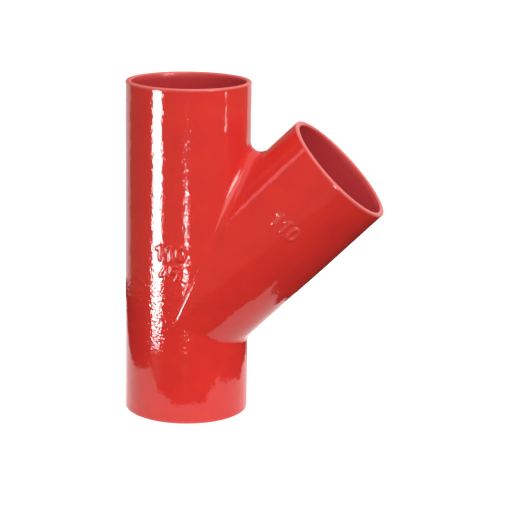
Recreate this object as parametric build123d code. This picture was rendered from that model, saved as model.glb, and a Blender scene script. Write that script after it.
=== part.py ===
from build123d import *

import os

# Lateral wye fitting: one casting with three plain ends, a straight run and an equal branch.
# The origin is the centre of the lower end face and the run stands on +Z.
# The branch leans towards +X, and the plane y = 0 holds both axes.

# Driving dimensions in millimetres, the angle in degrees

pipe_diameter = 110.0       # outside diameter of the seats, the same at all three ends
wall_thickness = 5.0        # cast wall at the three ends
body_swell = 0.8            # the wall between the ends is this much heavier, on the outside
seat_length = 26.0          # how far a coupling's sleeve reaches over each end
seat_run_out = 7.0          # slight cone from a seat up to the heavier body
trim_clearance = 0.05       # how far the cutting rings of the ends stand clear of the skin
lower_length = 90.0         # lower end face to the point where the axes meet
upper_length = 205.0        # meeting point to the upper end face, along the run
branch_length = 190.0       # meeting point to the face of the branch mouth, along the branch
branch_angle = 45.0         # between the upper run and the branch
branch_relief = 0.05        # the branch skin lies this far inside the run skin at the flanks
skin_seam_radius = 9.0      # hollow blend outside, where the branch grows out of the run
core_seam_radius = 12.0     # rounding inside, where the two bores run together
rim_chamfer = 1.0           # broken edges, outside and inside, of the three end faces
core_overrun = 10.0         # how far the core stands out of each end of the mould

# Radii that follow from them

seat_radius = pipe_diameter / 2
skin_radius = seat_radius + body_swell
core_radius = seat_radius - wall_thickness

# Planes of the axes and of the three end faces, each facing out of the fitting

meeting_point = Vector(0, 0, lower_length)
run_up = Plane(meeting_point)
run_down = Plane(meeting_point, x_dir=(1, 0, 0), z_dir=(0, 0, -1))
branch_out = Plane(meeting_point, x_dir=(0, 1, 0), z_dir=(0, 0, 1)).rotated((0, branch_angle, 0))
upper_face = run_up.offset(upper_length)
lower_face = run_down.offset(lower_length)
mouth_face = branch_out.offset(branch_length)


# Blended body of a run and an equal branch

def blended_wye(radius, extension, seam_radius):
    """Return run and branch as one solid, with the seam between them blended.

    The flank of an equal branch would only touch the run, so its skin is drawn in by the relief.
    The two skins then cross in one closed loop, and one blend runs all the way round it.
    """
    run_start = run_up.offset(-lower_length - extension)
    run = extrude(run_start * Circle(radius), lower_length + upper_length + 2 * extension)
    branch = extrude(branch_out * Circle(radius - branch_relief), branch_length + extension)
    joined = run + branch
    seam = joined.edges().filter_by(GeomType.BSPLINE)
    return fillet(seam, seam_radius)


# Ring taken off outside an open end

def seat_trim(end_face):
    """Return the ring whose inner wall is an end's broken edge, its seat and the run-out into the body."""
    outside = skin_radius + trim_clearance
    run_out_end = -seat_length - seat_run_out * (outside - seat_radius) / body_swell
    outline = Polyline(
        (seat_radius - rim_chamfer - 1.0, 1.0),
        (seat_radius, -rim_chamfer),
        (seat_radius, -seat_length),
        (outside, run_out_end),
        (outside, 1.0),
        close=True,
    )
    ring = revolve(Plane.XZ * make_face(outline), Axis.Z)
    return end_face * ring


# Flare that breaks the inner edge of an open end

def inner_flare(end_face, bore_radius):
    """Return the cone that widens a bore by the rim's chamfer at one end face."""
    cone = Cone(
        bore_radius,
        bore_radius + rim_chamfer,
        rim_chamfer,
        align=(Align.CENTER, Align.CENTER, Align.MAX),
    )
    return end_face * cone


# Casting: the mould's cavity less the core

skin = blended_wye(skin_radius, 0, skin_seam_radius)
skin -= seat_trim(upper_face)
skin -= seat_trim(lower_face)
skin -= seat_trim(mouth_face)

core = blended_wye(core_radius, core_overrun, core_seam_radius)
core += inner_flare(upper_face, core_radius)
core += inner_flare(lower_face, core_radius)
core += inner_flare(mouth_face, core_radius - branch_relief)

casting = skin - core

# One file for the one piece

os.makedirs("parts", exist_ok=True)
export_step(casting, "parts/wye_body.step")
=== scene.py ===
"""Lateral wye fitting: one iron casting in gloss red, standing on white card in soft studio light.

The casting is one closed mesh. Its two shells, the skin and the bore, are swept along the three pipes from
the blended seams where they meet. A tree of Geometry Nodes gives the skin its swells, its raised figures,
its parting line and the groove at the foot of the crotch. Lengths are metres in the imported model's frame.
"""

import logging
import math
from dataclasses import dataclass, field, fields
from enum import Enum
from typing import Any

import bmesh
import bpy
import numpy as np
from mathutils import Matrix, Vector

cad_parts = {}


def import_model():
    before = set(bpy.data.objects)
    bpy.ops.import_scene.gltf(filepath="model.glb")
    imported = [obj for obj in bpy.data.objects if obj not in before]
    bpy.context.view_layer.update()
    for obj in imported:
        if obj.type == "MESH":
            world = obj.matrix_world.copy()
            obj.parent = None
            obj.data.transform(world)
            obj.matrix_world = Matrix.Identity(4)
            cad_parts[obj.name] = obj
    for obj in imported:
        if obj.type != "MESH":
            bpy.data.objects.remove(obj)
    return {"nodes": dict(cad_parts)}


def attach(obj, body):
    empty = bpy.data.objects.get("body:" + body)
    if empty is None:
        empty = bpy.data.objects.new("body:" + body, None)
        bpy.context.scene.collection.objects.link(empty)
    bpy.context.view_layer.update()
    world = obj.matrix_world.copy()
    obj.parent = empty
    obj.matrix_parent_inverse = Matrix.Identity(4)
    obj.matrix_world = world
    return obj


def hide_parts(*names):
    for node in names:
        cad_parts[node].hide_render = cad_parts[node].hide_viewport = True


LOG = logging.getLogger("wye_fitting")
MM = 0.001
NEARLY_ZERO = 1e-9
LOWER_LENGTH = 90 * MM
MEETING_POINT = np.array((0.0, 0.0, LOWER_LENGTH))
NEAR_SIDE = np.array((0.0, -1.0, 0.0))
BRANCH_STARTS = 45 * MM
BRANCH_CLEAR = 65 * MM
CAMERA_AZIMUTH = 10.0
FULL_TURN = 360
PURE_WHITE = (1.0, 1.0, 1.0, 1.0)

Tree = bpy.types.NodeTree
Socket = bpy.types.NodeSocket
Sockets = bpy.types.bpy_prop_collection
Piece = bpy.types.Object


def linear_colour(hex_code: str) -> tuple[float, float, float, float]:
    """Turn an sRGB hex code into a linear colour.

    Args:
        hex_code: Six hex digits, with or without a leading hash.

    Returns:
        Linear red, green and blue, and an alpha of one.
    """
    digits = hex_code.lstrip("#")
    linear = []
    for start in (0, 2, 4):
        share = int(digits[start : start + 2], 16) / 255
        linear.append(share / 12.92 if share <= 0.04045 else ((share + 0.055) / 1.055) ** 2.4)
    return linear[0], linear[1], linear[2], 1.0


def add_node(tree: Tree, kind: str, inputs: dict[str | int, Any] | None = None, **settings: Any) -> Sockets:
    """Add one node with its settings, its values and its links.

    Args:
        tree: The tree that the node is added to.
        kind: The node's type name.
        inputs: For an input's name or number, either a value or the output socket that is linked to it.
        **settings: Properties of the node itself, such as its operation.

    Returns:
        The new node's outputs.
    """
    node = tree.nodes.new(kind)
    for name, value in settings.items():
        setattr(node, name, value)
    for key, value in (inputs or {}).items():
        socket = node.inputs[key]
        if isinstance(value, Socket):
            tree.links.new(value, socket)
        else:
            socket.default_value = value
    return node.outputs


class Ease(Enum):
    """How a fade runs between its two ends, by the node's own names."""

    EVEN = "LINEAR"
    SOFT = "SMOOTHSTEP"


@dataclass(frozen=True)
class Fade:
    """A value that goes from first to last while the one it follows goes from start to end."""

    start: Any
    end: Any
    first: Any
    last: Any
    ease: Ease = Ease.SOFT

    def of(self, value: Socket) -> dict[str, Any]:
        """Describe the node that follows a value.

        Args:
            value: The output that the fade follows.

        Returns:
            The node in add_node's own terms.
        """
        ends = {"From Min": self.start, "From Max": self.end, "To Min": self.first, "To Max": self.last}
        inputs = {"Value": value, **ends}
        return {"kind": "ShaderNodeMapRange", "inputs": inputs, "interpolation_type": self.ease.value}


def new_material(name: str) -> tuple[bpy.types.Material, Tree]:
    """Make an empty node material.

    Args:
        name: The material's name.

    Returns:
        The material and its tree.
    """
    material = bpy.data.materials.new(name)
    material.use_nodes = True
    material.node_tree.nodes.clear()
    return material, material.node_tree


def attribute(tree: Tree, name: str) -> Socket:
    """Return a material's output that holds one of the casting's attributes."""
    return add_node(tree, "ShaderNodeAttribute", attribute_name=name)["Fac"]


def link_object(name: str, data: bpy.types.ID) -> Piece:
    """Make an object and link it into the scene.

    Args:
        name: The object's name.
        data: Its mesh, lamp or camera.

    Returns:
        The object.
    """
    made = bpy.data.objects.new(name, data)
    bpy.context.scene.collection.objects.link(made)
    return made


def plain_mesh(name: str, points: list[Any], edges: list[Any], faces: list[Any]) -> bpy.types.Mesh:
    """Make a mesh of points, edges and faces.

    Args:
        name: The mesh's name.
        points: The points, each of three numbers.
        edges: Pairs of point numbers, where there are no faces.
        faces: Rows of point numbers.

    Returns:
        The mesh.
    """
    mesh = bpy.data.meshes.new(name)
    mesh.from_pydata([tuple(point) for point in points], edges, faces)
    return mesh


def compass(azimuth: float, elevation: float = 0.0) -> Vector:
    """Give the direction out of the fitting towards an azimuth, counted as the camera's is.

    Args:
        azimuth: Degrees, 0 towards the near side and rising to the right.
        elevation: Degrees above the horizon.

    Returns:
        A unit vector.
    """
    turn, rise = math.radians(azimuth), math.radians(elevation)
    return Vector((math.sin(turn) * math.cos(rise), -math.cos(turn) * math.cos(rise), math.sin(rise)))


def at_height(height: float) -> Vector:
    """Give the point on the run's axis at a height above the card."""
    return Vector((0.0, 0.0, height))


def outward_at(angle: np.ndarray, side: tuple[float, float, float]) -> np.ndarray:
    """Give the directions out of a pipe at angles counted from its near side towards another side."""
    return np.sin(angle) * np.array(side) + np.cos(angle) * NEAR_SIDE


def graded_places(length: float, steps: list[tuple[float, float]], samples: int = 4001) -> np.ndarray:
    """Divide a length so that the spacing follows wanted steps.

    Args:
        length: The length to divide.
        steps: Pairs of a place on the length and the spacing wanted there.
        samples: How many places the wanted spacing is read at.

    Returns:
        The places of the divisions, from zero to the length.
    """
    along = np.linspace(0.0, length, samples)
    wanted = np.interp(along, [place for place, _ in steps], [step for _, step in steps])
    density = 1.0 / wanted
    counted = np.concatenate(([0.0], np.cumsum((density[1:] + density[:-1]) / 2 * np.diff(along))))
    divisions = math.ceil(counted[-1])
    return np.interp(np.linspace(0.0, counted[-1], divisions + 1), counted, along)


class Seam(Enum):
    """The three lines where two neighbouring pipes meet, by half the angle between their axes in degrees."""

    CROTCH = 22.5
    HEEL = 67.5
    BACK = 90.0


@dataclass(frozen=True)
class Pipe:
    """One of the three pipes, from the meeting point of the axes to its open end.

    The steps pair a place along the pipe with the spacing that the mesh has there.
    """

    axis: tuple[float, float, float]
    length: float
    skin_steps: tuple[tuple[float, float], ...]
    core_steps: tuple[tuple[float, float], ...]

    def direction(self) -> np.ndarray:
        """Return the axis as an array."""
        return np.array(self.axis)


@dataclass(frozen=True)
class Half:
    """Half of a pipe that faces one seam, with that side of it and of the pipe across the seam."""

    pipe: str
    seam: Seam
    side: tuple[float, float, float]
    side_across: tuple[float, float, float]


@dataclass(frozen=True)
class Shell:
    """Skin or bore: its radius, the radius of its blend and whether it is the bore."""

    radius: float
    blend: float
    is_bore: bool


@dataclass
class CastBody:
    """The casting: a straight run and an equal branch at 45 degrees, all three ends plain.

    The mesh is fine where figures stand, close along the seams and the parting line, and coarse elsewhere.
    """

    skin: Shell = Shell(54.7 * MM, 9.4 * MM, False)
    bore: Shell = Shell(50.0 * MM, 12.0 * MM, True)
    upper_length: float = 205 * MM
    branch_length: float = 190 * MM
    lean: float = math.radians(45)
    rim_round: float = 1.25 * MM
    round_points: int = 5
    rim_mask_reach: float = 1.3
    rim_mask_fade: float = 0.6
    sand_starts: float = 1.0 * MM
    sand_fade: float = 7 * MM
    seam_reach: float = 90 * MM
    fine_step: float = 0.64 * MM
    coarse_step: float = 2.7 * MM
    middle_step: float = 2.3 * MM
    seam_step: float = 1.1 * MM
    groove_step: float = 1.0 * MM
    slope_step: float = 1.7 * MM
    parting_step: float = 0.55 * MM
    rim_step: float = 1.5 * MM
    weld: float = 0.004 * MM
    pipes: dict[str, Pipe] = field(default_factory=dict)
    halves: list[Half] = field(default_factory=list)

    def __post_init__(self) -> None:
        """Lay out the three pipes and the six halves that the shells are swept from."""
        sin, cos = math.sin(self.lean), math.cos(self.lean)
        fine, coarse, middle = self.fine_step, self.coarse_step, self.middle_step
        core = ((0.0, 2.4 * MM), (30 * MM, 5.0 * MM), (200 * MM, 5.0 * MM))
        run_up = (
            (0.0, self.groove_step),
            (6 * MM, self.groove_step),
            (12 * MM, self.slope_step),
            (27 * MM, self.slope_step),
            (34 * MM, fine),
            (74 * MM, fine),
            (84 * MM, coarse),
            (196 * MM, coarse),
            (self.upper_length, self.rim_step),
        )
        run_down = (
            (0.0, self.seam_step),
            (20 * MM, middle),
            (82 * MM, middle),
            (LOWER_LENGTH, self.rim_step),
        )
        branch = (
            (0.0, self.seam_step),
            (20 * MM, middle),
            (103 * MM, middle),
            (112 * MM, fine),
            (144 * MM, fine),
            (154 * MM, coarse),
            (182 * MM, coarse),
            (self.branch_length, self.rim_step),
        )
        self.pipes = {
            "run_up": Pipe((0.0, 0.0, 1.0), self.upper_length, run_up, core),
            "run_down": Pipe((0.0, 0.0, -1.0), LOWER_LENGTH, run_down, core),
            "branch": Pipe((sin, 0.0, cos), self.branch_length, branch, core),
        }
        right, left = (1.0, 0.0, 0.0), (-1.0, 0.0, 0.0)
        below, above = (cos, 0.0, -sin), (-cos, 0.0, sin)
        self.halves = [
            Half("run_up", Seam.BACK, left, left),
            Half("run_up", Seam.CROTCH, right, above),
            Half("branch", Seam.CROTCH, above, right),
            Half("branch", Seam.HEEL, below, right),
            Half("run_down", Seam.HEEL, right, below),
            Half("run_down", Seam.BACK, left, left),
        ]

    def column_angles(self, seam: Seam) -> np.ndarray:
        """Give the angles of the columns round half a pipe, from the near side to the far side.

        Both halves at a seam share them. They are close where figures stand and along the parting line.

        Args:
            seam: The seam that the half faces.

        Returns:
            Angles from zero to pi.
        """
        figures_end = {Seam.BACK: 22 * MM, Seam.CROTCH: 16 * MM, Seam.HEEL: 20 * MM}[seam]
        half_way = self.skin.radius * math.pi
        parting = half_way / 2
        steps = [
            (0.0, self.fine_step),
            (figures_end, self.fine_step),
            (figures_end + 12 * MM, self.coarse_step),
            (parting - 9 * MM, self.coarse_step),
            (parting - 2 * MM, self.parting_step),
            (parting + 2 * MM, self.parting_step),
            (parting + 9 * MM, self.coarse_step),
            (half_way - 20 * MM, self.coarse_step),
            (half_way - 8 * MM, 1.2 * MM),
            (half_way, self.groove_step),
        ]
        return graded_places(half_way, steps) / self.skin.radius

    def sweep(self, half: Half, shell: Shell) -> np.ndarray:
        """Place the points of one shell over half a pipe, from the middle of the seam's blend to the end.

        A ball as large as the blend rolls along the seam and touches both pipes. Each column starts on the
        ball half way between its two touching points, runs over it and goes on straight along the pipe.

        Args:
            half: The half pipe.
            shell: Skin or bore.

        Returns:
            Points by row and column.
        """
        pipe = self.pipes[half.pipe]
        axis = pipe.direction()
        angle = self.column_angles(half.seam)[:, None]
        outward = outward_at(angle, half.side)
        reach = shell.radius + shell.blend
        touch = reach * np.sin(angle) / math.tan(math.radians(half.seam.value))
        ball = MEETING_POINT + reach * outward + axis * touch
        middle = outward + outward_at(angle, half.side_across)
        middle /= np.linalg.norm(middle, axis=1, keepdims=True)
        cosine = np.clip((middle * outward).sum(axis=1, keepdims=True), -1.0, 1.0)
        bend = np.arccos(cosine)
        sideways = middle - cosine * outward
        size = np.linalg.norm(sideways, axis=1, keepdims=True)
        sideways = np.where(size > NEARLY_ZERO, sideways / np.maximum(size, NEARLY_ZERO), 0.0)
        straight = pipe.length - self.rim_round - touch
        path = shell.blend * bend + straight
        whole = pipe.length - self.rim_round
        steps = pipe.core_steps if shell.is_bore else pipe.skin_steps
        rows = []
        for share in graded_places(whole, list(steps)) / whole:
            walked = share * path
            left = np.maximum(bend - walked / shell.blend, 0.0)
            on_ball = ball - shell.blend * (np.cos(left) * outward + np.sin(left) * sideways)
            beyond = touch + np.maximum(walked - shell.blend * bend, 0.0)
            on_pipe = MEETING_POINT + shell.radius * outward + axis * beyond
            rows.append(np.where(left > 0.0, on_ball, on_pipe))
        return np.array(rows)

    def rim(self, half: Half) -> np.ndarray:
        """Place the points of half an end face, from the skin round both broken edges to the bore.

        Args:
            half: The half pipe.

        Returns:
            Points by row and column.
        """
        pipe = self.pipes[half.pipe]
        axis = pipe.direction()
        outward = outward_at(self.column_angles(half.seam)[:, None], half.side)
        small = self.rim_round
        outer, inner, end = self.skin.radius, self.bore.radius, pipe.length
        profile = []
        for turn in np.linspace(0.0, math.pi / 2, self.round_points):
            profile.append((outer - small + small * math.cos(turn), end - small + small * math.sin(turn)))
        for share in (0.33, 0.67):
            profile.append((outer - small + share * (inner - outer + 2 * small), end))
        for turn in np.linspace(math.pi / 2, 0.0, self.round_points):
            profile.append((inner + small - small * math.cos(turn), end - small + small * math.sin(turn)))
        return np.array([MEETING_POINT + radius * outward + axis * along for radius, along in profile])

    def grids(self) -> list[tuple[np.ndarray, bool, np.ndarray]]:
        """Sweep both shells and the rim of every half pipe.

        Returns:
            For each grid its points, whether its faces are turned over, and how far each point is outside.
        """
        swept = []
        for half in self.halves:
            axis = self.pipes[half.pipe].direction()
            inside_out = bool(np.dot(np.cross(axis, -NEAR_SIDE), np.array(half.side)) < 0)
            skin, rim, bore = self.sweep(half, self.skin), self.rim(half), self.sweep(half, self.bore)
            rim_outside = np.zeros(rim.shape[:2])
            rim_outside[: self.round_points + 1] = 1.0
            swept.append((skin, inside_out, np.ones(skin.shape[:2])))
            swept.append((rim, inside_out, rim_outside))
            swept.append((bore, not inside_out, np.zeros(bore.shape[:2])))
        return swept

    def build(self) -> Piece:
        """Join all the swept grids into one closed mesh with the attributes that the skin's tree reads.

        Returns:
            The object of the raw casting, without a finish.
        """
        points, faces, outside = [], [], []
        count = 0
        for grid, turned_over, share in self.grids():
            rows, columns, _ = grid.shape
            number = count + np.arange(rows * columns).reshape(rows, columns)
            around = [number[:-1, :-1], number[1:, :-1], number[1:, 1:], number[:-1, 1:]]
            if turned_over:
                around.reverse()
            faces.append(np.stack(around, axis=-1).reshape(-1, 4))
            points.append(grid.reshape(-1, 3))
            outside.append(share.reshape(-1))
            count += rows * columns
        placed = np.concatenate(points)
        mesh = plain_mesh("wye_casting", placed.tolist(), [], np.concatenate(faces).tolist())
        from_end = self.distance_from_end(placed)
        rim_fade = self.rim_mask_fade * self.rim_round
        masks = {
            "outside": np.concatenate(outside),
            "rim": np.clip((self.rim_mask_reach * self.rim_round - from_end) / rim_fade, 0.0, 1.0),
            "as_cast": np.clip((from_end - self.sand_starts) / self.sand_fade, 0.0, 1.0),
        }
        for name, values in masks.items():
            layer = mesh.attributes.new(name, "FLOAT", "POINT")
            layer.data.foreach_set("value", values.astype(np.float32))
        work = bmesh.new()
        work.from_mesh(mesh)
        bmesh.ops.remove_doubles(work, verts=work.verts, dist=self.weld)
        open_edges = sum(1 for edge in work.edges if not edge.is_manifold)
        LOG.info(
            "raw casting: %d vertices, %d faces, %d open edges", len(work.verts), len(work.faces), open_edges
        )
        work.to_mesh(mesh)
        work.free()
        mesh.shade_smooth()
        return link_object("wye_casting", mesh)

    def seam_line(self) -> Piece:
        """Draw the low ends of the crotch's seam, on both sides, as a wire along the middle of the blend.

        Returns:
            An object that has edges only.
        """
        half = next(half for half in self.halves if half.pipe == "run_up" and half.seam is Seam.CROTCH)
        middle = self.sweep(half, self.skin)[0]
        low = middle[:, 2] < MEETING_POINT[2] + self.seam_reach
        edges = [(first, first + 1) for first in range(len(middle) - 1) if low[first] and low[first + 1]]
        return link_object("seam_line", plain_mesh("seam_line", middle, edges, []))

    def distance_from_end(self, points: np.ndarray) -> np.ndarray:
        """Measure how far each point lies from the nearest open end, along that pipe.

        Args:
            points: Points in a row each.

        Returns:
            One distance for each point.
        """
        nearest = np.full(len(points), np.inf)
        for pipe in self.pipes.values():
            along = (points - MEETING_POINT) @ pipe.direction()
            nearest = np.minimum(nearest, np.abs(pipe.length - along))
        return nearest


@dataclass(frozen=True)
class FigureLine:
    """A line of plain figures on a pipe, by the middle of its foot."""

    text: str
    pipe: str
    across: float
    along: float


@dataclass
class CastFigures:
    """Raised plain numbers, as a foundry marks such a fitting: the outside width and the branch's angle."""

    radius: float = 54.7 * MM
    height: float = 11.4 * MM
    width: float = 6.4 * MM
    advance: float = 9.7 * MM
    wire_step: float = 1.0 * MM
    lines: tuple[FigureLine, ...] = (
        FigureLine("110", "run_up", -3.6 * MM, 57.4 * MM),
        FigureLine("45", "run_up", -4.4 * MM, 39.8 * MM),
        FigureLine("110", "branch", 2.6 * MM, 127.5 * MM),
    )

    def strokes(self, figure: str) -> list[list[tuple[float, float]]]:
        """Draw one figure as strokes in a cell one wide and one high.

        Args:
            figure: A single digit out of 0, 1, 4 and 5.

        Returns:
            Strokes, each a list of points.
        """
        if figure == "0":
            turns = np.linspace(0.0, 2 * math.pi, 33)
            return [[(0.5 + 0.5 * math.sin(turn), 0.5 - 0.5 * math.cos(turn)) for turn in turns]]
        if figure == "1":
            return [[(0.12, 0.76), (0.58, 1.0), (0.58, 0.0)]]
        if figure == "4":
            return [[(0.74, 0.0), (0.74, 1.0), (0.0, 0.3), (1.04, 0.3)]]
        hook = [(0.94, 1.0), (0.14, 1.0), (0.06, 0.54)]
        turns = np.linspace(-0.95, 2.45, 22)[3:]
        bowl = [(0.42 + 0.54 * math.sin(turn), 0.32 + 0.32 * math.cos(turn)) for turn in turns]
        return [hook + bowl]

    def place(self, line: FigureLine, body: CastBody, across: float, along: float) -> np.ndarray:
        """Lay a point of the drawing on the skin.

        Args:
            line: The line of figures.
            body: The casting that carries them.
            across: Distance round the pipe from its near side.
            along: Distance along the pipe from the meeting point.

        Returns:
            The point on the skin.
        """
        axis = body.pipes[line.pipe].direction()
        side = np.cross(axis, NEAR_SIDE)
        turn = across / self.radius
        outward = math.sin(turn) * side + math.cos(turn) * NEAR_SIDE
        return MEETING_POINT + self.radius * outward + axis * along

    def flat_strokes(self, line: FigureLine) -> list[list[tuple[float, float]]]:
        """Set a line's figures side by side, in distances round and along the pipe.

        Args:
            line: The line of figures.

        Returns:
            Strokes, each a list of points.
        """
        start = line.across - (self.advance * (len(line.text) - 1) + self.width) / 2
        flat = []
        for order, figure in enumerate(line.text):
            left = start + order * self.advance
            for stroke in self.strokes(figure):
                flat.append([(left + x * self.width, line.along + y * self.height) for x, y in stroke])
        return flat

    def wires(self, body: CastBody) -> Piece:
        """Lay all the strokes on the skin as wires that the skin's tree raises metal along.

        Args:
            body: The casting that carries the figures.

        Returns:
            An object that has edges only.
        """
        points: list[np.ndarray] = []
        edges: list[tuple[int, int]] = []
        for line in self.lines:
            for stroke in self.flat_strokes(line):
                for (x0, y0), (x1, y1) in zip(stroke, stroke[1:]):
                    parts = max(1, math.ceil(math.hypot(x1 - x0, y1 - y0) / self.wire_step))
                    for part in range(parts + 1):
                        share = part / parts
                        spot = (x0 + (x1 - x0) * share, y0 + (y1 - y0) * share)
                        points.append(self.place(line, body, *spot))
                        if part:
                            edges.append((len(points) - 2, len(points) - 1))
        return link_object("figure_wires", plain_mesh("figure_wires", points, edges, []))


class SkinTree:
    """The tree of Geometry Nodes that moves each point of the casting along its normal and coats it."""

    def __init__(self, sizes: list[str]) -> None:
        """Open the tree with its inputs.

        Args:
            sizes: The names of the inputs that are plain numbers.
        """
        self.tree = bpy.data.node_groups.new("cast_skin", "GeometryNodeTree")
        face = self.tree.interface
        face.new_socket("Geometry", in_out="INPUT", socket_type="NodeSocketGeometry")
        for name in ("Figure wires", "Seam line"):
            face.new_socket(name, in_out="INPUT", socket_type="NodeSocketObject")
        for name in sizes:
            face.new_socket(name, in_out="INPUT", socket_type="NodeSocketFloat")
        face.new_socket("Coating", in_out="INPUT", socket_type="NodeSocketMaterial")
        face.new_socket("Geometry", in_out="OUTPUT", socket_type="NodeSocketGeometry")
        self.given = add_node(self.tree, "NodeGroupInput")
        self.spot = self.add("GeometryNodeInputPosition")
        self.place = add_node(self.tree, "ShaderNodeSeparateXYZ", {0: self.spot})

    def add(self, kind: str, inputs: dict[str | int, Any] | None = None, **settings: Any) -> Socket:
        """Add a node and return its first output."""
        return add_node(self.tree, kind, inputs, **settings)[0]

    def mask(self, name: str) -> Socket:
        """Return the output that holds one of the casting's attributes."""
        return self.add("GeometryNodeInputNamedAttribute", {"Name": name}, data_type="FLOAT")

    def distance(self, wires: str) -> Socket:
        """Return the output that holds each point's distance from the wires of a given object."""
        shape = add_node(self.tree, "GeometryNodeObjectInfo", {"Object": self.given[wires]})["Geometry"]
        return add_node(self.tree, "GeometryNodeProximity", {0: shape}, target_element="EDGES")["Distance"]

    def unevenness(self, kind: str) -> Socket:
        """Add smooth unevenness, by the length of its waves and their height from trough to crest.

        Args:
            kind: Swell or Ripple, as the inputs are named.

        Returns:
            The output with the offset, as much above zero as below.
        """
        length, height = self.given[f"{kind} length"], self.given[f"{kind} height"]
        scale = self.add("ShaderNodeMath", {0: 1.0, 1: length}, operation="DIVIDE")
        pattern = {"Vector": self.spot, "W": self.given["Seed"], "Scale": scale, "Detail": 1.0}
        offset = self.add("ShaderNodeTexNoise", pattern, noise_dimensions="4D")
        for operation, other in (("SUBTRACT", 0.5), ("MULTIPLY", height), ("MULTIPLY", 2.0)):
            offset = self.add("ShaderNodeMath", {0: offset, 1: other}, operation=operation)
        return offset

    def waves(self) -> Socket:
        """Add swells and ripples up, and leave them out at the ends, which are dressed.

        Returns:
            The output with the rise.
        """
        rise = self.unevenness("Swell")
        for operation, other in (("ADD", self.unevenness("Ripple")), ("MULTIPLY", self.mask("as_cast"))):
            rise = self.add("ShaderNodeMath", {0: rise, 1: other}, operation=operation)
        return rise

    def figures(self, distance: Socket, foot: Socket) -> Socket:
        """Raise metal along the strokes, with a flat top and soft shoulders.

        Args:
            distance: The distance from the wires.
            foot: How far from the wires the shoulders end.

        Returns:
            The output with the rise.
        """
        rise = Fade(self.given["Stroke flat"], foot, self.given["Figure height"], 0.0)
        raised = self.add(**rise.of(distance))
        # The branch's figures stand less high than the run's
        share = Fade(BRANCH_STARTS, BRANCH_CLEAR, 1.0, self.given["Branch figure share"], Ease.EVEN)
        filled = self.add(**share.of(self.place["X"]))
        return self.add("ShaderNodeMath", {0: raised, 1: filled}, operation="MULTIPLY")

    def parting_line(self) -> Socket:
        """Raise the thin ridge where the two halves of the mould met.

        Returns:
            The output with the rise.
        """
        off_plane = self.add("ShaderNodeMath", {0: self.place["Y"]}, operation="ABSOLUTE")
        rise = Fade(0.0, self.given["Parting width"], self.given["Parting height"], 0.0)
        ridge = self.add(**rise.of(off_plane))
        as_cast = self.mask("as_cast")
        return self.add("ShaderNodeMath", {0: ridge, 1: as_cast}, operation="MULTIPLY")

    def groove(self) -> Socket:
        """Sink a shallow groove along the seam where the two flanks run together, fading at both ends.

        Returns:
            The output with the depth.
        """
        section = Fade(0.0, self.given["Groove width"], self.given["Groove depth"], 0.0)
        low_end = Fade(85 * MM, 97 * MM, 0.0, 1.0, Ease.EVEN)
        high_end = Fade(140 * MM, 176 * MM, 1.0, 0.0, Ease.EVEN)
        depth = self.add(**section.of(self.distance("Seam line")))
        for end in (low_end, high_end):
            share = self.add(**end.of(self.place["Z"]))
            depth = self.add("ShaderNodeMath", {0: depth, 1: share}, operation="MULTIPLY")
        return depth

    def build(self) -> Tree:
        """Join waves, figures, parting line and groove into one rise, and give the skin its coating.

        Returns:
            The finished tree.
        """
        given = self.given
        to_figures = self.distance("Figure wires")
        flat, shoulder = given["Stroke flat"], given["Stroke shoulder"]
        foot = self.add("ShaderNodeMath", {0: flat, 1: shoulder}, operation="ADD")
        rise = self.figures(to_figures, foot)
        for operation, other in (
            ("MAXIMUM", self.parting_line()),
            ("SUBTRACT", self.groove()),
            ("MULTIPLY", self.mask("outside")),
            ("ADD", self.waves()),
        ):
            rise = self.add("ShaderNodeMath", {0: rise, 1: other}, operation=operation)
        normal = self.add("GeometryNodeInputNormal")
        offset = self.add("ShaderNodeVectorMath", {0: normal, "Scale": rise}, operation="SCALE")
        # The coating reads how near the figures are
        twice_foot = self.add("ShaderNodeMath", {0: foot, 1: 2.0}, operation="MULTIPLY")
        beside = Fade(flat, twice_foot, 1.0, 0.0)
        beside_figures = self.add(**beside.of(to_figures))
        marks = {"Geometry": given["Geometry"], "Name": "figures", "Value": beside_figures}
        marked = self.add("GeometryNodeStoreNamedAttribute", marks, data_type="FLOAT", domain="POINT")
        moved = self.add("GeometryNodeSetPosition", {"Geometry": marked, "Offset": offset})
        whole = self.add("GeometryNodeRealizeInstances", {"Geometry": moved})
        coated = self.add("GeometryNodeSetMaterial", {"Geometry": whole, "Material": given["Coating"]})
        add_node(self.tree, "NodeGroupOutput", {0: coated})
        return self.tree


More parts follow.
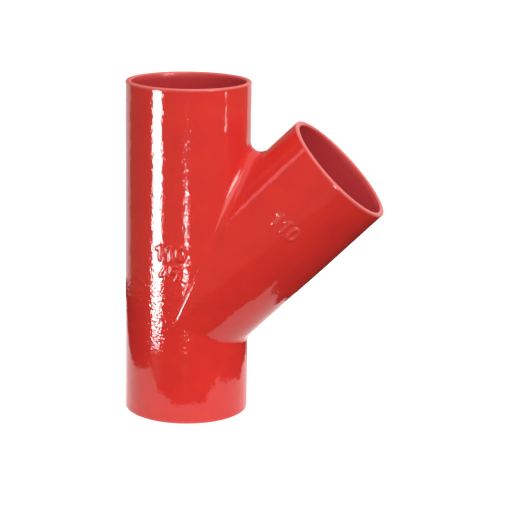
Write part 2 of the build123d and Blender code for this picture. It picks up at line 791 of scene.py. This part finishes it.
@dataclass(frozen=True)
class CastSkin:
    """The shape that sand moulding leaves on the casting. Each size is an input of the tree."""

    seed: float = 7.0
    swell_height: float = 0.16 * MM
    swell_length: float = 38.0 * MM
    ripple_height: float = 0.10 * MM
    ripple_length: float = 10.0 * MM
    figure_height: float = 0.9 * MM
    branch_figure_share: float = 0.5
    stroke_flat: float = 0.7 * MM
    stroke_shoulder: float = 1.2 * MM
    parting_height: float = 0.22 * MM
    parting_width: float = 1.3 * MM
    groove_depth: float = 0.55 * MM
    groove_width: float = 2.0 * MM

    def sizes(self) -> dict[str, float]:
        """Give the sizes by the names of the tree's inputs."""
        return {size.name.replace("_", " ").capitalize(): getattr(self, size.name) for size in fields(self)}

    def apply(self, body: Piece, wires: Piece, seam_line: Piece, coating: bpy.types.Material) -> None:
        """Run the tree on the raw casting, keep its result as a plain mesh and drop modifier and wires.

        Args:
            body: The raw casting.
            wires: The strokes of the figures.
            seam_line: The line that the groove in the seam follows.
            coating: The finish of the whole casting.
        """
        tree = SkinTree(list(self.sizes())).build()
        modifier = body.modifiers.new("cast_skin", "NODES")
        modifier.node_group = tree
        values = {"Figure wires": wires, "Seam line": seam_line, "Coating": coating, **self.sizes()}
        for item in tree.interface.items_tree:
            if item.item_type == "SOCKET" and item.in_out == "INPUT" and item.name in values:
                modifier[item.identifier] = values[item.name]
        shaped = body.evaluated_get(bpy.context.evaluated_depsgraph_get())
        mesh = bpy.data.meshes.new_from_object(shaped)
        mesh.name = "wye_casting"
        body.modifiers.clear()
        body.data = mesh
        bpy.data.objects.remove(wires)
        bpy.data.objects.remove(seam_line)


@dataclass(frozen=True)
class RedEpoxyCoating:
    """Powder-sprayed epoxy, baked on over sand-cast grey iron.

    The film is thin and even, so it shines, and the sand's grain under it still shows as soft dimples. Real
    moulding sand measures a third of a millimetre: grain and pits are drawn coarser, for the picture's sake.
    """

    colour: str = "#DE352C"
    colour_in_hollows: str = "#CF2A2D"
    # Paler red on the rims: a thinner film on the cut edges, and partly a painted highlight of their rounded
    # edges
    colour_on_rims: str = "#E4645E"
    # Darker red in the bore: painted shade, for the inside of the pipe that lies in shade
    colour_in_bore: str = "#BE3A3E"
    cloud_length: float = 26 * MM
    cloud_fade: Fade = Fade(0.35, 0.7, 0.0, 0.45, Ease.EVEN)
    roughness: Fade = Fade(0.3, 0.7, 0.06, 0.095, Ease.EVEN)
    rim_dullness: float = 0.3
    figure_dullness: float = 0.21
    peel_length: float = 3.6 * MM
    peel_height: float = 0.042 * MM
    grain_length: float = 2.2 * MM
    grain_height: float = 0.10 * MM
    pit_spacing: float = 3.6 * MM
    pit_radius: float = 0.95 * MM
    pit_floor: float = 0.25
    pit_depth: float = 0.075 * MM
    wander_length: float = 40 * MM
    wander_reach: float = 60 * MM
    dies_out_above: Fade = Fade(140 * MM, 225 * MM, 1.0, 0.45)
    dies_out_below: Fade = Fade(80 * MM, 120 * MM, 0.12, 1.0)
    dies_out_at_right: Fade = Fade(12 * MM, 40 * MM, 1.0, 0.16)

    def material(self) -> bpy.types.Material:
        """Build the coating: colour, gloss and the grain of the sand below it.

        Returns:
            The material.
        """
        material, tree = new_material("red_epoxy_on_cast_iron")
        spot = add_node(tree, "ShaderNodeTexCoord")["Object"]
        place = add_node(tree, "ShaderNodeSeparateXYZ", {0: spot})
        # Slight clouds in the film, as long as a thumb
        pattern = {"Vector": spot, "Scale": 1 / self.cloud_length, "Detail": 2.0}
        clouds = add_node(tree, "ShaderNodeTexNoise", pattern)[0]
        film = {
            "Base Color": self.film_colour(tree, clouds),
            "Roughness": self.film_roughness(tree, clouds, place["X"]),
            "IOR": 1.5,
            "Normal": self.dimples(tree, spot, place),
        }
        shader = add_node(tree, "ShaderNodeBsdfPrincipled", film)
        add_node(tree, "ShaderNodeOutputMaterial", {"Surface": shader[0]})
        return material

    def film_colour(self, tree: Tree, clouds: Socket) -> Socket:
        """Mix the film's colour: clouded outside, darker in the bore as painted shade, and paler on the
        rims, partly as a painted highlight.

        Args:
            tree: The material's tree.
            clouds: The pattern of the clouds.

        Returns:
            The output with the colour.
        """
        bore = {0: 1.0, 1: attribute(tree, "outside")}
        colour: Any = linear_colour(self.colour)
        for share, layer in (
            (add_node(tree, **self.cloud_fade.of(clouds))[0], self.colour_in_hollows),
            # Painted shade: the bore's darker red
            (add_node(tree, "ShaderNodeMath", bore, operation="SUBTRACT")[0], self.colour_in_bore),
            # Paler rims: thinner film, and partly a painted highlight
            (attribute(tree, "rim"), self.colour_on_rims),
        ):
            inputs = {0: share, 6: colour, 7: linear_colour(layer)}
            colour = add_node(tree, "ShaderNodeMix", inputs, data_type="RGBA")[2]
        return colour

    def film_roughness(self, tree: Tree, clouds: Socket, across: Socket) -> Socket:
        """Dull the film on the rims, where it draws back from the edge, and round the branch's figures.

        Args:
            tree: The material's tree.
            clouds: The pattern of the clouds.
            across: The place to the right of the run's axis.

        Returns:
            The output with the roughness.
        """
        # Only on the branch is the film duller round the figures
        share = Fade(BRANCH_STARTS, BRANCH_CLEAR, 0.0, self.figure_dullness, Ease.EVEN)
        on_branch = add_node(tree, **share.of(across))[0]
        rough = add_node(tree, **self.roughness.of(clouds))[0]
        for name, dullness in (("rim", self.rim_dullness), ("figures", on_branch)):
            more = {0: attribute(tree, name), 1: dullness, 2: rough}
            rough = add_node(tree, "ShaderNodeMath", more, operation="MULTIPLY_ADD")[0]
        return rough

    def dimples(self, tree: Tree, spot: Socket, place: Sockets) -> Socket:
        """Bend the normal by the film's orange peel and by the sand's grain and pits below it.

        Args:
            tree: The material's tree.
            spot: The position on the casting.
            place: The same position, taken apart.

        Returns:
            The output with the normal.
        """
        patterns = ((self.peel_length, 1.5), (self.grain_length, 0.6), (self.wander_length, 1.0))
        peel, grain, wander = (
            add_node(tree, "ShaderNodeTexNoise", {"Vector": spot, "Scale": 1 / length, "Detail": detail})[0]
            for length, detail in patterns
        )
        # Pits where single grains of sand broke away, which show as dark specks in the mirrored window
        spacing = {"Vector": spot, "Scale": 1 / self.pit_spacing}
        cells = add_node(tree, "ShaderNodeTexVoronoi", spacing)["Distance"]
        pit_edge = self.pit_radius / self.pit_spacing
        pit = Fade(self.pit_floor * pit_edge, pit_edge, -self.pit_depth, 0.0)
        pits = add_node(tree, **pit.of(cells))[0]
        surface = {0: grain, 1: self.grain_height * 2, 2: pits}
        relief = add_node(tree, "ShaderNodeMath", surface, operation="MULTIPLY_ADD")[0]
        # The relief is stronger round the seam of the two pipes than near the ends of the run
        uneven = {0: wander, 1: self.wander_reach, 2: place["Z"]}
        height = add_node(tree, "ShaderNodeMath", uneven, operation="MULTIPLY_ADD")[0]
        for fade, value in (
            (self.dies_out_above, height),
            (self.dies_out_below, height),
            (self.dies_out_at_right, place["X"]),
        ):
            coarse = add_node(tree, **fade.of(value))[0]
            relief = add_node(tree, "ShaderNodeMath", {0: relief, 1: coarse}, operation="MULTIPLY")[0]
        film = {"Height": peel, "Strength": 1.0, "Distance": self.peel_height * 2}
        peel_bump = add_node(tree, "ShaderNodeBump", film)[0]
        sand = {"Height": relief, "Strength": 1.0, "Distance": 1.0, "Normal": peel_bump}
        return add_node(tree, "ShaderNodeBump", sand)[0]


@dataclass(frozen=True)
class WhiteCard:
    """Matt white card: the pale floor, which stays white for the camera and keeps the shadow."""

    colour: str = "#DAD8D5"
    lift: float = 0.62
    gleam: float = 0.0

    def material(self) -> bpy.types.Material:
        """Build the card: chalky white, with a little added white for the camera, and a painted glow that
        only reflections see.

        Returns:
            The material.
        """
        material, tree = new_material("white_card")
        chalk = {"Color": linear_colour(self.colour), "Roughness": 0.5}
        card = add_node(tree, "ShaderNodeBsdfDiffuse", chalk)
        path = add_node(tree, "ShaderNodeLightPath")
        # A painted glow, seen only in reflections, brightens the card's reflection in the gloss
        glossy = {0: path["Is Glossy Ray"], 1: self.gleam}
        mirrored = add_node(tree, "ShaderNodeMath", glossy, operation="MULTIPLY")[0]
        seen = {0: path["Is Camera Ray"], 1: self.lift, 2: mirrored}
        strength = add_node(tree, "ShaderNodeMath", seen, operation="MULTIPLY_ADD")[0]
        glow = add_node(tree, "ShaderNodeEmission", {"Color": PURE_WHITE, "Strength": strength})
        both = add_node(tree, "ShaderNodeAddShader", {0: card[0], 1: glow[0]})
        add_node(tree, "ShaderNodeOutputMaterial", {"Surface": both[0]})
        return material


@dataclass(frozen=True)
class DimSurround:
    """A dark part of the studio, which only shows as a reflection in the gloss."""

    name: str
    colour: str
    strength: float

    def material(self) -> bpy.types.Material:
        """Build an even dim glow.

        Returns:
            The material.
        """
        material, tree = new_material(self.name)
        light = {"Color": linear_colour(self.colour), "Strength": self.strength}
        glow = add_node(tree, "ShaderNodeEmission", light)
        add_node(tree, "ShaderNodeOutputMaterial", {"Surface": glow[0]})
        return material


@dataclass(frozen=True)
class StripLamp:
    """An upright soft lamp, with its azimuth counted from the camera's and the heights of its foot and head.

    Most lamps show only as streaks in the gloss, and leave the matt light as it is.
    """

    name: str
    azimuth: float
    distance: float
    foot: float
    head: float
    width: float
    radiance: float
    colour: str = "#FFFFFF"
    lights_matt: bool = False

    def build(self) -> None:
        """Hang the lamp upright, turned to the fitting, unseen by the camera."""
        lamp = bpy.data.lights.new(self.name, "AREA")
        lamp.shape = "RECTANGLE"
        lamp.size = self.width
        lamp.size_y = self.head - self.foot
        lamp.energy = self.radiance * math.pi * self.width * (self.head - self.foot)
        lamp.color = linear_colour(self.colour)[:3]
        hung = link_object(self.name, lamp)
        outward = compass(CAMERA_AZIMUTH + self.azimuth)
        hung.location = outward * self.distance + at_height((self.head + self.foot) / 2)
        hung.rotation_mode = "QUATERNION"
        hung.rotation_quaternion = (-outward).to_track_quat("-Z", "Y")
        hung.visible_camera = False
        hung.visible_diffuse = self.lights_matt


@dataclass
class Studio:
    """White card, dark table, dim room, lamps and sky.

    A wave in the card's edges has a height and two turns in radians per metre, across and ahead.
    """

    sheet_front: float = 0.106
    sheet_left: float = 0.185
    sheet_right: float = 0.142
    sheet_back: float = 0.34
    # Strength of the card's painted glow in reflections
    sheet_gleam: float = 0.72
    sheet_steps: int = 60
    sheet_waves: tuple[tuple[float, float, float], ...] = ((5 * MM, 90, 60), (2.5 * MM, 260, -230))
    floor_radius: float = 6.0
    floor_drop: float = 0.4 * MM
    floor_steps: int = 96
    table_radius: float = 0.46
    table_drop: float = 0.8 * MM
    table_steps: int = 120
    table_finish: DimSurround = DimSurround("dark_table", "#3A2C2E", 1.0)
    bay_radius: float = 0.29
    bay_azimuth: float = -55.0
    bay_half_width: float = 13.0
    room_radius: float = 3.0
    room_foot: float = -1.2
    room_head: float = 2.6
    room_steps: int = 48
    room_finish: DimSurround = DimSurround("dim_room", "#C09480", 0.8)
    raised_foot: float = 0.22
    sky_azimuth: float = 36.0
    sky_elevation: float = 38.0
    sky_fade: Fade = Fade(-0.35, 0.9, 0.46, 1.20)
    sky_fade_below: Fade = Fade(-0.3, 0.0, 0.30, 1.0, Ease.EVEN)
    lamps: tuple[StripLamp, ...] = (
        # The long streak on the run, the short one beside it and the one at its top right
        StripLamp("low_window", -55, 1.2, -0.27, 0.19, 0.38, 31.0),
        StripLamp("door_strip", -0.3, 2.0, -0.41, -0.25, 0.15, 52.0),
        StripLamp("side_strip", 72.6, 1.5, -0.07, 0.04, 0.06, 14.0),
        # The line along the branch's top, the gleam in the crotch, and the soft light on everything
        StripLamp("back_window", -82, 1.6, 0.98, 1.35, 0.2, 3.0, "#FFB0B8"),
        StripLamp("right_window", 47, 1.6, 0.31, 0.92, 0.55, 11.0),
        StripLamp("key_box", 18, 2.2, 0.5, 2.3, 1.6, 2.2, lights_matt=True),
    )

    def sheet(self) -> None:
        """Cut the card that the fitting stands on, with wavering edges."""
        right, front = compass(CAMERA_AZIMUTH + 90), compass(CAMERA_AZIMUTH)
        wide, deep = self.sheet_left + self.sheet_right, self.sheet_front + self.sheet_back
        outline = []
        for step in range(self.sheet_steps + 1):
            outline.append((wide * step / self.sheet_steps - self.sheet_left, self.sheet_front))
        for step in range(1, self.sheet_steps + 1):
            outline.append((self.sheet_right, self.sheet_front - deep * step / self.sheet_steps))
        outline.append((-self.sheet_left, -self.sheet_back))
        edge = []
        for across, ahead in outline:
            shift = sum(high * math.sin(across * x + ahead * y) for high, x, y in self.sheet_waves)
            edge.append(right * (across + shift) + front * (ahead + shift))
        self.put("card_sheet", edge, [range(len(edge))], WhiteCard(gleam=self.sheet_gleam).material())

    def floor(self) -> None:
        """Spread the wide pale floor just under the card."""
        turns = [compass(FULL_TURN * step / self.floor_steps) for step in range(self.floor_steps)]
        edge = [turn * self.floor_radius + at_height(-self.floor_drop) for turn in turns]
        floor = self.put("pale_floor", edge, [range(len(edge))], WhiteCard().material())
        floor.visible_glossy = False
        floor.visible_diffuse = False
        floor.visible_shadow = False

    def room(self) -> None:
        """Bend the room's dark walls and its dark low floor round the camera's side.

        Behind the fitting on the left the wall starts above the table, so that only the branch mirrors it.
        """
        points = [at_height(self.room_foot)]
        faces = []
        for start, end, foot in ((-130, 136, self.room_foot), (-182, -130, self.raised_foot)):
            first = len(points)
            for step in range(self.room_steps + 1):
                turn = compass(CAMERA_AZIMUTH + start + (end - start) * step / self.room_steps)
                points.append(turn * self.room_radius + at_height(foot))
                points.append(turn * self.room_radius + at_height(self.room_head))
            for low in range(first, first + 2 * self.room_steps, 2):
                faces.append((low, low + 2, low + 3, low + 1))
                if foot == self.room_foot:
                    faces.append((0, low, low + 2))
        self.only_reflected(self.put("dim_room", points, faces, self.room_finish.material()))

    def table(self) -> None:
        """Lay the dark table top, with a bay towards the low window, whose foot shows in the gloss."""
        edge = []
        for step in range(self.table_steps):
            azimuth = FULL_TURN * step / self.table_steps
            off_bay = abs((azimuth - self.bay_azimuth + FULL_TURN / 2) % FULL_TURN - FULL_TURN / 2)
            reach = self.bay_radius if off_bay < self.bay_half_width else self.table_radius
            edge.append(compass(CAMERA_AZIMUTH + azimuth) * reach + at_height(-self.table_drop))
        self.only_reflected(self.put("dark_table", edge, [range(len(edge))], self.table_finish.material()))

    @staticmethod
    def only_reflected(piece: Piece) -> None:
        """Keep a piece of the stage out of everything but reflections.

        Args:
            piece: The piece of the stage.
        """
        piece.visible_camera = False
        piece.visible_diffuse = False
        piece.visible_transmission = False
        piece.visible_shadow = False

    @staticmethod
    def put(name: str, points: list[Vector], faces: list[Any], material: bpy.types.Material) -> Piece:
        """Make a piece of the stage.

        Args:
            name: The object's name.
            points: The points of its mesh.
            faces: The faces, each by its points' numbers.
            material: Its finish.

        Returns:
            The object.
        """
        mesh = plain_mesh(name, points, [], faces)
        mesh.materials.append(material)
        piece = link_object(name, mesh)
        return piece

    def sky(self) -> None:
        """Make the world white for the camera and for reflections, and else a soft light from the right."""
        world = bpy.data.worlds.new("studio_air")
        world.use_nodes = True
        tree = world.node_tree
        tree.nodes.clear()
        path = add_node(tree, "ShaderNodeLightPath")
        seen = path["Is Camera Ray"]
        for kind in ("Is Glossy Ray", "Is Transmission Ray"):
            seen = add_node(tree, "ShaderNodeMath", {0: seen, 1: path[kind]}, operation="MAXIMUM")[0]
        direction = add_node(tree, "ShaderNodeTexCoord")["Generated"]
        light = tuple(compass(CAMERA_AZIMUTH + self.sky_azimuth, self.sky_elevation))
        both = {0: direction, 1: light}
        towards_light = add_node(tree, "ShaderNodeVectorMath", both, operation="DOT_PRODUCT")["Value"]
        level = add_node(tree, **self.sky_fade.of(towards_light))[0]
        height = add_node(tree, "ShaderNodeSeparateXYZ", {0: direction})["Z"]
        above_table = add_node(tree, **self.sky_fade_below.of(height))[0]
        level = add_node(tree, "ShaderNodeMath", {0: level, 1: above_table}, operation="MULTIPLY")[0]
        soft, white = (
            add_node(tree, "ShaderNodeBackground", {"Color": PURE_WHITE, "Strength": strength})[0]
            for strength in (level, 1.0)
        )
        mixed = add_node(tree, "ShaderNodeMixShader", {0: seen, 1: soft, 2: white})[0]
        add_node(tree, "ShaderNodeOutputWorld", {"Surface": mixed})
        bpy.context.scene.world = world

    def build(self) -> None:
        """Set up the whole studio."""
        self.sheet()
        self.floor()
        self.table()
        self.room()
        self.sky()
        for lamp in self.lamps:
            lamp.build()
        bpy.context.scene.view_settings.view_transform = "Standard"


@dataclass(frozen=True)
class PhotoView:
    """The camera, where the photograph's stood."""

    azimuth: float = CAMERA_AZIMUTH
    elevation: float = 14.0
    roll: float = 1.0
    distance: float = 1.54
    target: tuple[float, float, float] = (0.0608, 0.0, 0.1427)
    lens: float = 123.5
    sensor: float = 36.0
    nearest: float = 0.05
    farthest: float = 50.0

    def build(self) -> None:
        """Set the camera up and make it the scene's."""
        lens = bpy.data.cameras.new("camera")
        lens.lens = self.lens
        lens.sensor_width = self.sensor
        lens.clip_start = self.nearest
        lens.clip_end = self.farthest
        camera = link_object("camera", lens)
        back = compass(self.azimuth, self.elevation)
        right = Vector((0, 0, 1)).cross(back).normalized()
        up = back.cross(right)
        turn = math.radians(self.roll)
        rolled_right = math.cos(turn) * right + math.sin(turn) * up
        rolled_up = -math.sin(turn) * right + math.cos(turn) * up
        place = Matrix((rolled_right, rolled_up, back)).transposed().to_4x4()
        place.translation = Vector(self.target) + back * self.distance
        camera.matrix_world = place
        bpy.context.scene.camera = camera


def main() -> None:
    """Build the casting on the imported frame, dress it, and set up the studio and the camera."""
    logging.basicConfig(level=logging.INFO, format="%(name)s: %(message)s")
    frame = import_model()
    LOG.info("frame loaded with %d node", len(frame["nodes"]))
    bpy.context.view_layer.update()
    body = CastBody()
    casting = body.build()
    wires = CastFigures(radius=body.skin.radius).wires(body)
    CastSkin().apply(casting, wires, body.seam_line(), RedEpoxyCoating().material())
    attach(casting, "root")
    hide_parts("wye_body")
    triangles = sum(len(face.vertices) - 2 for face in casting.data.polygons)
    LOG.info("wye_casting dressed, %d triangles", triangles)
    Studio().build()
    LOG.info("studio built")
    PhotoView().build()
    LOG.info("camera set")


if __name__ == "__main__":
    main()
